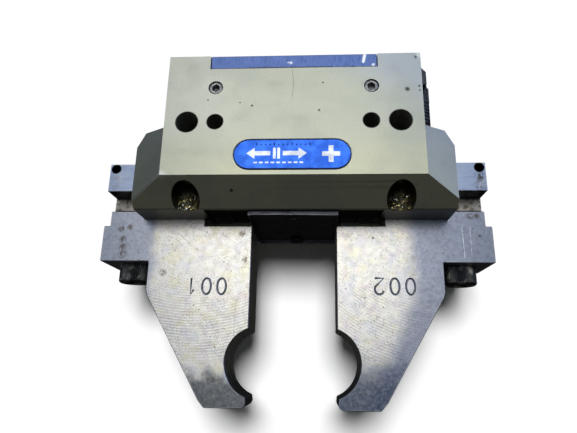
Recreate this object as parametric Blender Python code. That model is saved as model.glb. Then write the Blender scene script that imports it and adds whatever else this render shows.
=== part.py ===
"""Two-finger parallel gripper, driven by a pneumatic piston through a wedge hook.

X is the stroke of the fingers, +Y leaves the mounting face and +Z leaves the front face. The origin is
the centre of the mounting face. The jaws are modelled open, which is their rest position.
"""

import math

import bmesh
import bpy
from mathutils import Matrix, Vector

MM = 0.001
GAP = 0.3  # clearance between pieces that touch

# Driving dimensions, in millimetres
BODY_HALF_WIDTH = 62.5
BODY_HALF_DEPTH = 45.0
FACE_HEIGHT = 64.0  # flat front face, from the mounting face to the slanted edge
EDGE_SLANT = 13.0  # 45 degree slant at the lower front and rear edges
EAR_HALF_WIDTH = 78.0
EAR_TOP = -39.5
EAR_SLANT_Z = 9.0
JAW_STROKE = 13.0
PISTON_STROKE = 18.0
JAW_END = 96.4
T_HEAD_HALF = 22.0
T_HEAD_TOP = -49.0
T_HEAD_BOTTOM = -64.0
NECK_HALF = 10.0
JAW_BOTTOM = -72.2
FINGER_HALF = 14.5
BORE_RADIUS = 30.0
ROD_RADIUS = 9.0
COVER_THICKNESS = 7.2
COVER_HALF_WIDTH = 41.3
PARTITION_TOP = -33.5
PARTITION_BOTTOM = -37.5
WEDGE_TOP = -56.0
WEDGE_BOTTOM = -72.5
WEDGE_TOP_HALF = 24.0
WEDGE_HALF_DEPTH = 16.0
WEDGE_SLOPE = JAW_STROKE / PISTON_STROKE
BOLT_HOLE_X = 51.4
DOWEL_HOLE_X = 37.55
HOLE_Y = -36.6
PLUG_X = 38.2
PLUG_Y = -18.0
BODY_SCREW_X = 51.4
BODY_SCREW_Z = 36.2
COVER_SCREW_X = 30.0
COVER_SCREW_Z = 38.0
SWITCH_X = 68.2
SWITCH_Z = 16.0
FINGER_SCREW_X = 85.5
FINGER_PIN_X = 60.0

BODY_BOTTOM = -FACE_HEIGHT - EDGE_SLANT
SIDES = (("left", -1), ("right", 1))
ENDS = (("front", 1), ("rear", -1))

MATERIALS = {
    # name: (colour, roughness, metallic)
    "anodised": ((0.50, 0.50, 0.40), 0.55, 0.55),
    "bare_steel": ((0.55, 0.56, 0.60), 0.32, 1.0),
    "jaw_steel": ((0.52, 0.55, 0.68), 0.38, 1.0),
    "cover_metal": ((0.45, 0.50, 0.60), 0.35, 0.9),
    "sheet": ((0.60, 0.60, 0.60), 0.40, 1.0),
    "black_oxide": ((0.03, 0.03, 0.03), 0.45, 0.6),
    "zinc": ((0.65, 0.65, 0.62), 0.35, 1.0),
    "label_blue": ((0.05, 0.22, 0.80), 0.45, 0.0),
    "seal": ((0.02, 0.02, 0.02), 0.70, 0.0),
    "switch": ((0.10, 0.10, 0.11), 0.40, 0.7),
}


def material(name):
    """The named Principled material, made once."""
    if name in bpy.data.materials:
        return bpy.data.materials[name]
    colour, roughness, metallic = MATERIALS[name]
    made = bpy.data.materials.new(name)
    made.use_nodes = True
    shader = made.node_tree.nodes["Principled BSDF"]
    shader.inputs["Base Color"].default_value = (*colour, 1.0)
    shader.inputs["Roughness"].default_value = roughness
    shader.inputs["Metallic"].default_value = metallic
    return made


def mesh_object(name, shape):
    """An object at the origin that holds the bmesh, its faces turned outwards."""
    bmesh.ops.recalc_face_normals(shape, faces=shape.faces)
    mesh = bpy.data.meshes.new(name)
    shape.to_mesh(mesh)
    shape.free()
    made = bpy.data.objects.new(name, mesh)
    bpy.context.scene.collection.objects.link(made)
    return made


def prism(name, outline, low, high, axis="z"):
    """The outline, points in millimetres, extruded from low to high along axis.

    The outline is in (x, y) for axis z, in (y, z) for axis x and in (x, z) for axis y.
    """
    place = {
        "z": lambda a, b, c: Vector((a, b, c)),
        "x": lambda a, b, c: Vector((c, a, b)),
        "y": lambda a, b, c: Vector((a, c, b)),
    }[axis]
    shape = bmesh.new()
    rings = []
    for level in (low, high):
        rings.append([shape.verts.new(place(a, b, level) * MM) for a, b in outline])
    shape.faces.new(rings[0])
    shape.faces.new(rings[1])
    for i in range(len(outline)):
        j = (i + 1) % len(outline)
        shape.faces.new((rings[0][i], rings[0][j], rings[1][j], rings[1][i]))
    return mesh_object(name, shape)


def box(name, x, y, z):
    """A box between the (low, high) pairs x, y and z."""
    corners = [(x[0], y[0]), (x[1], y[0]), (x[1], y[1]), (x[0], y[1])]
    return prism(name, corners, z[0], z[1])


def circle(radius, sides, start=0.0, centre=(0.0, 0.0)):
    """Points of a regular polygon."""
    turns = [start + 2 * math.pi * i / sides for i in range(sides)]
    return [(centre[0] + radius * math.cos(t), centre[1] + radius * math.sin(t)) for t in turns]


def arc(centre, radius, start, end, steps):
    """Points of an arc, both ends included, with its angles in degrees."""
    angles = [math.radians(start + (end - start) * i / steps) for i in range(steps + 1)]
    return [(centre[0] + radius * math.cos(t), centre[1] + radius * math.sin(t)) for t in angles]


def turned(name, profile, centre=(0.0, 0.0), axis="y", sides=32):
    """A solid of revolution from (radius, distance along axis) points.

    For axis y the centre is (x, z), for axis z it is (x, y) and for axis x it is (y, z). A profile that
    begins and ends on the axis makes a solid piece, and any other closed profile makes a ring.
    """
    place = {
        "y": lambda a, b, c: Vector((centre[0] + a, c, centre[1] + b)),
        "z": lambda a, b, c: Vector((centre[0] + a, centre[1] + b, c)),
        "x": lambda a, b, c: Vector((c, centre[0] + a, centre[1] + b)),
    }[axis]
    solid = profile[0][0] == 0 and profile[-1][0] == 0
    shape = bmesh.new()
    rings = []
    for radius, along in profile:
        if radius == 0:
            rings.append([shape.verts.new(place(0.0, 0.0, along) * MM)])
        else:
            points = circle(radius, sides)
            rings.append([shape.verts.new(place(a, b, along) * MM) for a, b in points])
    last = len(rings) - 1 if solid else len(rings)
    for i in range(last):
        low = rings[i]
        high = rings[(i + 1) % len(rings)]
        for k in range(sides):
            m = (k + 1) % sides
            corners = [low[k % len(low)], low[m % len(low)], high[m % len(high)], high[k % len(high)]]
            shape.faces.new(list(dict.fromkeys(corners)))
    return mesh_object(name, shape)


def rod(name, radius, low, high, centre=(0.0, 0.0), axis="y", sides=24):
    """A plain cylinder."""
    return turned(name, [(0, low), (radius, low), (radius, high), (0, high)], centre, axis, sides)


def ring(name, inner, outer, low, high, sides=32):
    """A ring of rectangular section round the Y axis."""
    profile = [(inner, low), (outer, low), (outer, high), (inner, high)]
    return turned(name, profile, sides=sides)


def combine(target, others, operation):
    """Adds a Boolean modifier for each of the others, which stay in the scene as hidden guides."""
    for other in others:
        other.hide_render = True
        other.display_type = "WIRE"
        modifier = target.modifiers.new(other.name, "BOOLEAN")
        modifier.operation = operation
        modifier.solver = "EXACT"
        modifier.object = other
    return target


def cut(target, *cutters):
    return combine(target, cutters, "DIFFERENCE")


def join(target, *pieces):
    return combine(target, pieces, "UNION")


def bevel(target, width, angle=40.0):
    """Breaks the edges sharper than the angle."""
    modifier = target.modifiers.new("edge_break", "BEVEL")
    modifier.width = width * MM
    modifier.segments = 1
    modifier.limit_method = "ANGLE"
    modifier.angle_limit = math.radians(angle)
    return target


def finish(target, slot, parent, smooth=False):
    """Gives a sub-part its material and its parent, and rounds the look of turned pieces."""
    target.data.materials.append(material(slot))
    if smooth:
        target.data.shade_smooth()
        target.data.set_sharp_from_angle(angle=math.radians(35.0))
    target.parent = parent
    target.matrix_parent_inverse = Matrix.Translation(-parent.location)
    return target


def pivot(name, place):
    """An empty on a joint's axis, which carries the pieces that move together."""
    empty = bpy.data.objects.new(name, None)
    empty.location = Vector(place) * MM
    bpy.context.scene.collection.objects.link(empty)
    return empty


def wedge_half(y):
    """Half width of the wedge hook at height y, with the jaws open."""
    return WEDGE_TOP_HALF + (y - WEDGE_TOP) * WEDGE_SLOPE


def slanted_band(name, side, near, far, low, high, half_depth):
    """A band beside the wedge's inclined face, between two distances measured square to that face."""
    along_x = math.hypot(1.0, WEDGE_SLOPE)
    outline = [
        (side * (wedge_half(low) + near * along_x), low),
        (side * (wedge_half(low) + far * along_x), low),
        (side * (wedge_half(high) + far * along_x), high),
        (side * (wedge_half(high) + near * along_x), high),
    ]
    return prism(name, outline, -half_depth, half_depth)


def cap_screw(name, head_radius, head, shank_radius, shank_end, centre, axis="y", sides=24, socket=0.55):
    """A cap screw. head is (seat, top) along the axis, and its hex socket opens at the top."""
    seat, top = head
    inward = 1 if seat > top else -1
    rim = 0.08 * head_radius
    profile = [
        (0, top),
        (head_radius - rim, top),
        (head_radius, top + inward * rim),
        (head_radius, seat),
        (shank_radius, seat),
        (shank_radius, shank_end),
        (0, shank_end),
    ]
    screw = turned(name, profile, centre, axis, sides)
    depth = 0.5 * abs(seat - top)
    hexagon = circle(socket * head_radius, 6, start=math.pi / 6, centre=centre)
    ends = sorted((top - inward * 1.0, top + inward * depth))
    return cut(screw, prism(name + "_socket", hexagon, ends[0], ends[1], axis))


def housing(parent):
    ear_base_half = BODY_HALF_DEPTH - EAR_SLANT_Z
    plan = []
    for x, z in ((1, 1), (-1, 1), (-1, -1), (1, -1)):
        corner = [(x * EAR_HALF_WIDTH, z * ear_base_half), (x * BODY_HALF_WIDTH, z * BODY_HALF_DEPTH)]
        plan += corner if x == z else corner[::-1]
    body = prism("housing", plan, BODY_BOTTOM, EAR_TOP, "y")
    core = box(
        "core",
        (-BODY_HALF_WIDTH, BODY_HALF_WIDTH),
        (EAR_TOP - 8.0, 0),
        (-BODY_HALF_DEPTH, BODY_HALF_DEPTH),
    )
    join(body, core)
    over = 5.0
    for end, z in ENDS:
        slant = [
            (-FACE_HEIGHT + over, z * (BODY_HALF_DEPTH + over)),
            (BODY_BOTTOM - over, z * (BODY_HALF_DEPTH + over)),
            (BODY_BOTTOM - over, z * (BODY_HALF_DEPTH - EDGE_SLANT - over)),
        ]
        cut(body, prism("slant_" + end, slant, -90, 90, "x"))
    for side, x in SIDES:
        ear_corner = [
            (x * (EAR_HALF_WIDTH - 5.0), EAR_TOP),
            (x * EAR_HALF_WIDTH, EAR_TOP - 6.5),
            (x * (EAR_HALF_WIDTH + 5.0), EAR_TOP - 13.0),
            (x * (EAR_HALF_WIDTH + 5.0), EAR_TOP + 6.5),
            (x * (EAR_HALF_WIDTH - 10.0), EAR_TOP + 6.5),
        ]
        cut(body, prism("ear_corner_" + side, ear_corner, -90, 90))
    cut(
        body,
        box("cover_channel", (-41.6, 41.6), (-COVER_THICKNESS - GAP, 5), (-60, 60)),
        rod("piston_bore", BORE_RADIUS, PARTITION_TOP, -5, sides=48),
        ring("cover_seal_groove", 31.5, 34.0, -9.6, -5, sides=32),
        rod("rod_bore", ROD_RADIUS + GAP, PARTITION_BOTTOM - 1, PARTITION_TOP + 1, sides=24),
        rod("rod_seal_groove", 12.0, -36.5, -34.5, sides=24),
        box("wedge_chamber", (-25, 25), (BODY_BOTTOM - 5, PARTITION_BOTTOM), (-16.3, 16.3)),
        box("rib_room", (-32, 32), (T_HEAD_TOP - 2, PARTITION_BOTTOM), (-6.5, 6.5)),
        box("t_slot", (-90, 90), (T_HEAD_BOTTOM - GAP, T_HEAD_TOP + GAP), (-22.3, 22.3)),
        box("neck_slot", (-90, 90), (BODY_BOTTOM - 5, T_HEAD_BOTTOM), (-10.3, 10.3)),
        box("finger_channel", (-90, 90), (BODY_BOTTOM - 5, -71.9), (-14.8, 14.8)),
        box("bottom_recess", (-43.5, 43.5), (BODY_BOTTOM - 5, -75.0), (-31, 31)),
    )
    for side, x in SIDES:
        deep_y = -11.0 if x < 0 else -31.5
        along = (min(deep_y, PLUG_Y) - 1.3, max(deep_y, PLUG_Y) + 1.3)
        feed = sorted((x * (PLUG_X + 0.7), x * BOLT_HOLE_X))
        cut(
            body,
            rod("bolt_hole_" + side, 5.5, -60, 60, (x * BOLT_HOLE_X, HOLE_Y), "z", 28),
            rod("plug_hole_" + side, 3.7, 36.0, 60, (x * PLUG_X, PLUG_Y), "z", 16),
            rod("air_down_" + side, 1.7, -0.9, 37.0, (x * PLUG_X, PLUG_Y), "z", 10),
            rod("air_along_" + side, 2.2, *along, (x * PLUG_X, 0), "y", 10),
            rod("air_in_" + side, 1.4, *sorted((x * 25.0, x * (PLUG_X + 0.7))), (deep_y, 0.2), "x", 10),
            rod("air_port_" + side, 2.5, PLUG_Y - 2.5, 5, (x * BOLT_HOLE_X, 0), "y", 12),
            rod("air_feed_" + side, 1.4, *feed, (PLUG_Y - 0.3, 0.2), "x", 10),
        )
        for end, z in ENDS:
            depth = sorted((z * 31.0, z * 60.0))
            cut(
                body,
                rod(f"dowel_hole_{side}_{end}", 4.0, *depth, (x * DOWEL_HOLE_X, HOLE_Y), "z", 24),
                rod(f"cover_tap_{side}_{end}", 2.8, -17, -5, (x * COVER_SCREW_X, z * COVER_SCREW_Z), "y", 10),
                turned(
                    f"body_screw_bore_{side}_{end}",
                    [(0, -90), (6.65, -90), (6.65, -55.0), (4.3, -55.0), (4.3, -44.5), (0, -44.5)],
                    (x * BODY_SCREW_X, z * BODY_SCREW_Z),
                    "y",
                    24,
                ),
            )
    for end, z in ENDS:
        cut(body, rod("bottom_tap_" + end, 1.8, -80, -67, (0, z * 24.0), "y", 10))
        cut(body, rod("bracket_tap_" + end, 1.8, 54, 70, (-26.0, z * 9.0 - 6.0), "x", 10))
    cut(body, rod("switch_hole", 4.3, -50, -30, (SWITCH_X, SWITCH_Z), "y", 20))
    cut(body, stadium("plate_pocket", 28.3, 8.05, 44.5, 60))
    finish(body, "anodised", parent)


def stadium(name, half_length, half_height, low, high):
    """A slot-shaped slab on the front face, where the name plate goes."""
    middle = -53.9
    straight = half_length - half_height
    outline = arc((straight, middle), half_height, -90, 90, 12)
    outline += arc((-straight, middle), half_height, 90, 270, 12)
    return prism(name, outline, low, high)


def covers(parent):
    cover = box("end_cover", (-COVER_HALF_WIDTH, COVER_HALF_WIDTH), (-COVER_THICKNESS, 0), (-44.7, 44.7))
    for side, x in SIDES:
        for end, z in ENDS:
            place = (x * COVER_SCREW_X, z * COVER_SCREW_Z)
            seat = [(0, -12), (2.9, -12), (2.9, -4.4), (4.6, -4.4), (4.6, 5), (0, 5)]
            cut(cover, turned(f"cover_seat_{side}_{end}", seat, place, "y", 20))
            screw = cap_screw(f"cover_screw_{side}_{end}", 4.2, (-4.1, -0.5), 2.4, -16.0, place, sides=16)
            finish(screw, "black_oxide", parent, True)
    finish(cover, "cover_metal", parent)
    finish(ring("cover_seal", 31.8, 33.7, -9.3, -7.7), "seal", parent, True)
    finish(ring("rod_seal", 9.2, 11.7, -36.2, -34.8, 24), "seal", parent, True)
    sheet = box("bottom_cover", (-22.7, 22.7), (-79.2, -75.3), (-29.5, 29.5))
    for end, z in ENDS:
        seat = [(0, -82), (3.7, -82), (3.7, -77.1), (1.9, -77.1), (1.9, -70), (0, -70)]
        cut(sheet, turned("bottom_seat_" + end, seat, (0, z * 24.0), "y", 16))
        screw = cap_screw("bottom_screw_" + end, 3.4, (-77.4, -79.0), 1.5, -68.0, (0, z * 24.0), sides=16)
        finish(screw, "black_oxide", parent, True)
    finish(sheet, "sheet", parent)


def body_fittings(parent):
    for side, x in SIDES:
        plug = cap_screw("port_plug_" + side, 3.4, (38.0, 44.6), 3.0, 36.4, (x * PLUG_X, PLUG_Y), "z", 20, 0.6)
        finish(plug, "zinc", parent, True)
        for end, z in ENDS:
            place = (x * BODY_SCREW_X, z * BODY_SCREW_Z)
            screw = cap_screw(f"body_screw_{side}_{end}", 6.3, (-55.3, -63.3), 4.0, -45.0, place)
            finish(screw, "black_oxide", parent, True)
    finish(stadium("nameplate", 27.9, 7.65, 44.8, 45.3), "label_blue", parent)


def switch(parent):
    plate = prism(
        "switch_bracket",
        [
            (BODY_HALF_WIDTH + GAP, -0.8),
            (64.6, -0.8),
            (67.3, -4.0),
            (67.3, -11.0),
            (BODY_HALF_WIDTH + GAP, -11.0),
        ],
        -2.0,
        34.0,
    )
    join(
        plate,
        box("bracket_foot", (BODY_HALF_WIDTH + 1.3 * GAP, 66.0), (-38.9, -5.0), (-20.0, 9.0)),
        box("bracket_wing", (65.0, 72.9), (-10.4, -1.4), (-1.0, 14.0)),
    )
    cut(plate, rod("switch_grip", 3.8, -20, 5, (SWITCH_X, SWITCH_Z), "y", 20))
    for end, z in ENDS:
        hole = (-26.0, z * 9.0 - 6.0)
        cut(plate, rod("bracket_hole_" + end, 2.0, 60, 80, hole, "x", 12))
        screw = cap_screw("bracket_screw_" + end, 3.4, (66.3, 69.5), 1.5, 55.0, hole, "x", 16)
        finish(screw, "black_oxide", parent, True)
    finish(plate, "switch", parent)
    ribs = 17
    pitch = 2.0
    thread_top = -12.0
    profile = [(0, -2.2), (3.4, -2.2), (3.4, thread_top)]
    for i in range(ribs):
        top = thread_top - i * pitch
        profile += [(4.0, top - 0.2), (4.0, top - 1.1), (3.5, top - 1.3), (3.5, top - pitch)]
    profile += [(4.0, thread_top - ribs * pitch - 0.2), (4.0, -48.2), (0, -48.2)]
    finish(turned("proximity_switch", profile, (SWITCH_X, SWITCH_Z), "y", 14), "switch", parent, True)


def drive(parent):
    piston = turned(
        "piston",
        [
            (0, -25.7),
            (29.0, -25.7),
            (29.7, -26.4),
            (29.7, -28.2),
            (27.0, -28.2),
            (27.0, -30.8),
            (29.7, -30.8),
            (29.7, -32.5),
            (29.0, -33.2),
            (ROD_RADIUS, -33.2),
            (ROD_RADIUS, WEDGE_TOP + GAP),
            (0, WEDGE_TOP + GAP),
        ],
        sides=40,
    )
    cut(piston, rod("piston_tap", 4.3, -60, -42, sides=16))
    finish(piston, "zinc", parent, True)
    finish(ring("piston_seal", 27.3, 29.85, -30.5, -28.5, 40), "seal", parent, True)
    wedge = prism(
        "wedge_hook",
        [
            (-wedge_half(WEDGE_BOTTOM), WEDGE_BOTTOM),
            (wedge_half(WEDGE_BOTTOM), WEDGE_BOTTOM),
            (WEDGE_TOP_HALF, WEDGE_TOP),
            (-WEDGE_TOP_HALF, WEDGE_TOP),
        ],
        -WEDGE_HALF_DEPTH,
        WEDGE_HALF_DEPTH,
    )
    for side, x in SIDES:
        join(
            wedge,
            slanted_band("rib_stem_" + side, x, -1.0, 3.2, WEDGE_BOTTOM, WEDGE_TOP, 3.0),
            slanted_band("rib_head_" + side, x, 3.0, 5.8, WEDGE_BOTTOM, WEDGE_TOP, 6.0),
        )
    seat = [(0, -80), (6.9, -80), (6.9, -66.0), (4.3, -66.0), (4.3, -50), (0, -50)]
    cut(wedge, turned("bolt_seat", seat, sides=20))
    finish(wedge, "bare_steel", parent)
    finish(cap_screw("piston_bolt", 6.5, (-66.3, -72.2), 4.0, -43.0, (0, 0), sides=20), "black_oxide", parent, True)


def base_jaw(side, x, parent):
    slack = GAP * math.hypot(1.0, WEDGE_SLOPE)
    head = prism(
        "base_jaw_" + side,
        [
            (x * (wedge_half(T_HEAD_BOTTOM) + slack), T_HEAD_BOTTOM),
            (x * JAW_END, T_HEAD_BOTTOM),
            (x * JAW_END, T_HEAD_TOP),
            (x * (wedge_half(T_HEAD_TOP) + slack), T_HEAD_TOP),
        ],
        -T_HEAD_HALF,
        T_HEAD_HALF,
    )
    neck_x = sorted((x * 34.0, x * JAW_END))
    join(head, box("neck_" + side, neck_x, (JAW_BOTTOM, T_HEAD_BOTTOM + 1), (-NECK_HALF, NECK_HALF)))
    stem_half = 3.0 + GAP
    head_half = 6.0 + GAP
    low, high = T_HEAD_BOTTOM - 12, T_HEAD_TOP + 5
    cut(
        head,
        slanted_band("stem_slot_" + side, x, -2.0, 4.0, low, high, stem_half),
        slanted_band("head_slot_" + side, x, 3.0 - GAP, 5.8 + GAP, low, high, head_half),
        rod("jaw_tap_" + side, 5.3, -80, -53, (x * FINGER_SCREW_X, 0), "y", 20),
        rod("jaw_pin_hole_" + side, 3.3, -80, -65.5, (x * FINGER_PIN_X, 0), "y", 16),
        rod("sensor_tap_" + side, 2.5, 12, 30, (x * 93.3, -51.6), "z", 20),
    )
    finish(head, "jaw_steel", parent)


def finger(side, x, parent):
    top, shoulder, tip = -72.5, -80.4, -168.5
    inner, flange_end = 21.6, 99.4
    pocket, pocket_radius = (15.85, -147.7), 16.75
    corner = math.degrees(math.acos((inner - pocket[0]) / pocket_radius))
    outline = [
        (46.3, top),
        (96.2, top),
        (96.2, shoulder),
        (flange_end, shoulder),
        (flange_end, -99.0),
        (74.0, -99.0),
        (74.0, -113.5),
        (73.1, -116.5),
        (44.3, -165.0),
        (41.2, tip),
    ]
    outline += arc((24.3, tip + 2.7), 2.7, -90, -200, 6)
    outline += arc(pocket, pocket_radius, -corner + 1, corner, 22)
    outline += [(inner, shoulder), (46.3, shoulder)]
    shape = prism("finger_" + side, [(x * a, b) for a, b in outline], -FINGER_HALF, FINGER_HALF)
    seat = [(0, -120), (8.3, -120), (8.3, -97.8), (5.5, -97.8), (5.5, -60), (0, -60)]
    cut(
        shape,
        turned("finger_seat_" + side, seat, (x * FINGER_SCREW_X, 0), "y", 24),
        rod("finger_pin_hole_" + side, 3.3, -79, -60, (x * FINGER_PIN_X, 0), "y", 16),
    )
    finish(bevel(shape, 0.3), "bare_steel", parent)
    screw = cap_screw("finger_screw_" + side, 8.0, (-98.1, -108.1), 5.0, -54.0, (x * FINGER_SCREW_X, 0), sides=28)
    finish(screw, "black_oxide", parent, True)
    finish(rod("finger_pin_" + side, 3.0, -78.5, -66.0, (x * FINGER_PIN_X, 0), sides=16), "zinc", parent, True)


def main():
    for old in list(bpy.data.objects):
        bpy.data.objects.remove(old, do_unlink=True)
    base = pivot("gripper", (0, 0, 0))
    housing(base)
    covers(base)
    body_fittings(base)
    switch(base)
    drive(pivot("piston_slide", (0, PARTITION_TOP, 0)))
    for side, x in SIDES:
        slide = pivot(f"jaw_{side}_slide", (x * FINGER_SCREW_X, T_HEAD_BOTTOM, 0))
        base_jaw(side, x, slide)
        finger(side, x, slide)


main()
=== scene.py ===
import math
import random

import bmesh
import bpy
from mathutils import Matrix, Vector


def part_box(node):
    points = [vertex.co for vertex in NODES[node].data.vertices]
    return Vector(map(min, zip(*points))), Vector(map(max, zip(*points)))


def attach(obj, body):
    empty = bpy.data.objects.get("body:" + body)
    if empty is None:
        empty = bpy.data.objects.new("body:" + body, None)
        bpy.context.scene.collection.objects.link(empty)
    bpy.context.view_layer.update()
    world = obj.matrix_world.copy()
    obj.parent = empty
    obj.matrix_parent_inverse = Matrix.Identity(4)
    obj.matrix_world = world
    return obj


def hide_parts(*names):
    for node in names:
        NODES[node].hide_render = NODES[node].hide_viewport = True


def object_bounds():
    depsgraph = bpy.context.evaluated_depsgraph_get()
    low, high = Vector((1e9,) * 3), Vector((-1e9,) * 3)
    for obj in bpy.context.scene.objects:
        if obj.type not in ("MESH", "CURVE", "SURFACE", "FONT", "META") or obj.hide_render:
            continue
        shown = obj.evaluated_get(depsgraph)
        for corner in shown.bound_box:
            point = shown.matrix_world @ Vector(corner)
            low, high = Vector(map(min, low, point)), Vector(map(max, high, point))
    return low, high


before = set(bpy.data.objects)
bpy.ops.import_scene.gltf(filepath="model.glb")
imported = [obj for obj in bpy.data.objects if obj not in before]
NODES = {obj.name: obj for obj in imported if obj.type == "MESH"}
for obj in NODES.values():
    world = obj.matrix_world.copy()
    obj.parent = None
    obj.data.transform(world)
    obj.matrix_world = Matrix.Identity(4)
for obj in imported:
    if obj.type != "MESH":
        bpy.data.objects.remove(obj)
CAD_BOX = [list(corner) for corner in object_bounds()]
MM = 0.001
SIDES = (("left", -1), ("right", 1))
ENDS = (("front", 1), ("rear", -1))

# Camera, in metres: it looks down on the front face from over the fingers' pockets
CAMERA_PLACE = Vector((0.01172, -0.14974, 0.26072))
CAMERA_TARGET = Vector((-0.0011, -0.0845, 0.045))
CAMERA_ROLL = 1.0
CAMERA_LENS = 31.196


# ---------------------------------------------------------------- materials


def srgb(red, green, blue):
    """A linear colour from 0 to 255 screen values."""
    linear = []
    for value in (red, green, blue):
        level = value / 255
        linear.append(level / 12.92 if level <= 0.04045 else ((level + 0.055) / 1.055) ** 2.4)
    return (*linear, 1.0)


class Finish:
    """One procedural material, built node by node. Lengths are in millimetres."""

    def __init__(self, name, colour, metallic, roughness):
        self.material = bpy.data.materials.new(name)
        self.material.use_nodes = True
        self.tree = self.material.node_tree
        self.shader = self.tree.nodes["Principled BSDF"]
        self.shader.inputs["Metallic"].default_value = metallic
        self.shader.inputs["Roughness"].default_value = roughness
        self.shader.inputs["Base Color"].default_value = colour
        coordinates = self.node("TexCoord").outputs["Object"]
        self.place = self.vector("MULTIPLY", coordinates, (1 / MM,) * 3)
        self.colour = colour
        self.height = None

    def node(self, kind, settings=None, inputs=None):
        made = self.tree.nodes.new("ShaderNode" + kind)
        for key, value in (settings or {}).items():
            setattr(made, key, value)
        for key, value in (inputs or {}).items():
            self.put(made.inputs[key], value)
        return made

    def put(self, socket, value):
        if isinstance(value, bpy.types.NodeSocket):
            self.tree.links.new(value, socket)
        else:
            socket.default_value = value

    def math(self, operation, first, second=0.0):
        return self.node("Math", {"operation": operation}, {0: first, 1: second}).outputs[0]

    def vector(self, operation, first, second=(0, 0, 0)):
        made = self.node("VectorMath", {"operation": operation}, {0: first, 1: second})
        return made.outputs["Value" if operation in ("LENGTH", "DOT_PRODUCT", "DISTANCE") else "Vector"]

    def between(self, value, low, high, start=0.0, end=1.0):
        """start below low, end above high, and smooth between them."""
        inputs = {0: value, 1: low, 2: high, 3: start, 4: end}
        return self.node("MapRange", {"interpolation_type": "SMOOTHSTEP"}, inputs).outputs[0]

    def noise(self, size, detail=3.0, stretch=(1, 1, 1), offset=(0, 0, 0), distortion=0.0):
        """Clouds about size millimetres across, from 0 to 1, stretched along the axes."""
        scaled = tuple(1 / (size * along) for along in stretch)
        moved = self.vector("ADD", self.place, offset)
        inputs = {
            "Vector": self.vector("MULTIPLY", moved, scaled),
            "Scale": 1.0,
            "Detail": detail,
            "Distortion": distortion,
        }
        return self.node("TexNoise", None, inputs).outputs["Fac"]

    def dots(self, size, spread, share, offset=(0, 0, 0)):
        """1 inside round specks up to size across, spread apart, of which share are left out."""
        moved = self.vector("ADD", self.place, offset)
        cells = self.node(
            "TexVoronoi",
            {"feature": "F1"},
            {"Vector": self.vector("MULTIPLY", moved, (1 / spread,) * 3), "Scale": 1.0, "Randomness": 1.0},
        )
        chance = self.node("SeparateColor", None, {0: cells.outputs["Color"]})
        kept = self.between(chance.outputs[0], share, min(1.0, share + 0.02))
        radius = self.math("MULTIPLY", chance.outputs[1], 0.5 * size / spread)
        near = self.math("SUBTRACT", radius, cells.outputs["Distance"])
        return self.math("MULTIPLY", kept, self.between(near, 0.0, 0.2 * size / spread))

    def patch(self, centre, radius, raggedness=0.6):
        """1 near a point, fading out over radius with a ragged edge."""
        away = self.vector("DISTANCE", self.place, centre)
        rough = self.math("MULTIPLY", self.noise(0.5 * radius, 4.0), raggedness * radius)
        return self.between(self.math("ADD", away, rough), 0.5 * radius, 1.3 * radius, 1.0, 0.0)

    def streak(self, start, end, width):
        """1 along the straight line between two points."""
        start, end = Vector(start), Vector(end)
        along = (end - start).normalized()
        offset = self.vector("SUBTRACT", self.place, tuple(start))
        run = self.vector("DOT_PRODUCT", offset, tuple(along))
        nearest = self.math("MINIMUM", self.math("MAXIMUM", run, 0.0), (end - start).length)
        foot = self.vector("SCALE", tuple(along))
        self.put(foot.node.inputs["Scale"], nearest)
        return self.between(self.vector("DISTANCE", offset, foot), 0.4 * width, width, 1.0, 0.0)

    def hole(self, centre, plane, radius):
        """1 inside round holes on both sides of the object. plane has a 0 for the hole's own axis."""
        offset = self.vector("SUBTRACT", self.vector("ABSOLUTE", self.place), centre)
        away = self.vector("LENGTH", self.vector("MULTIPLY", offset, plane))
        return self.between(away, radius, radius + 0.25, 1.0, 0.0)

    def any(self, *masks):
        found = masks[0]
        for other in masks[1:]:
            found = self.math("MAXIMUM", found, other)
        return found

    def paint(self, colour, mask, share=1.0):
        """Mixes a colour over what is there, where the mask is 1."""
        amount = mask if share == 1.0 else self.math("MULTIPLY", mask, share)
        mix = self.node("Mix", {"data_type": "RGBA"})
        self.put(mix.inputs[0], amount)
        self.put(mix.inputs[6], self.colour)
        self.put(mix.inputs[7], colour)
        self.colour = mix.outputs[2]

    def raise_by(self, value, amount):
        """Adds value times amount, in millimetres, to the surface's height."""
        step = self.math("MULTIPLY", value, amount)
        self.height = step if self.height is None else self.math("ADD", self.height, step)

    def worn_and_highlit_edges(self, width, scatter=0.5):
        """1 on outer and inner edges, broken up by noise: worn edges, also painted as edge highlights."""
        rounded = self.node("Bevel", {"samples": 6}, {"Radius": width * MM})
        flat = self.node("NewGeometry").outputs["Normal"]
        same = self.vector("DOT_PRODUCT", rounded.outputs[0], flat)
        edge = self.between(same, 0.92, 0.997, 1.0, 0.0)
        broken = self.between(self.noise(2.2, 4.0), 0.5 - 0.5 * scatter, 0.62, 0.0, 1.0)
        return self.math("MULTIPLY", edge, broken)

    def done(self, roughness=None):
        self.put(self.shader.inputs["Base Color"], self.colour)
        if roughness is not None:
            self.put(self.shader.inputs["Roughness"], roughness)
        if self.height is not None:
            inputs = {"Strength": 1.0, "Distance": MM, "Height": self.height}
            bump = self.node("Bump", None, inputs)
            self.put(self.shader.inputs["Normal"], bump.outputs[0])
        return self.material


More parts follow.
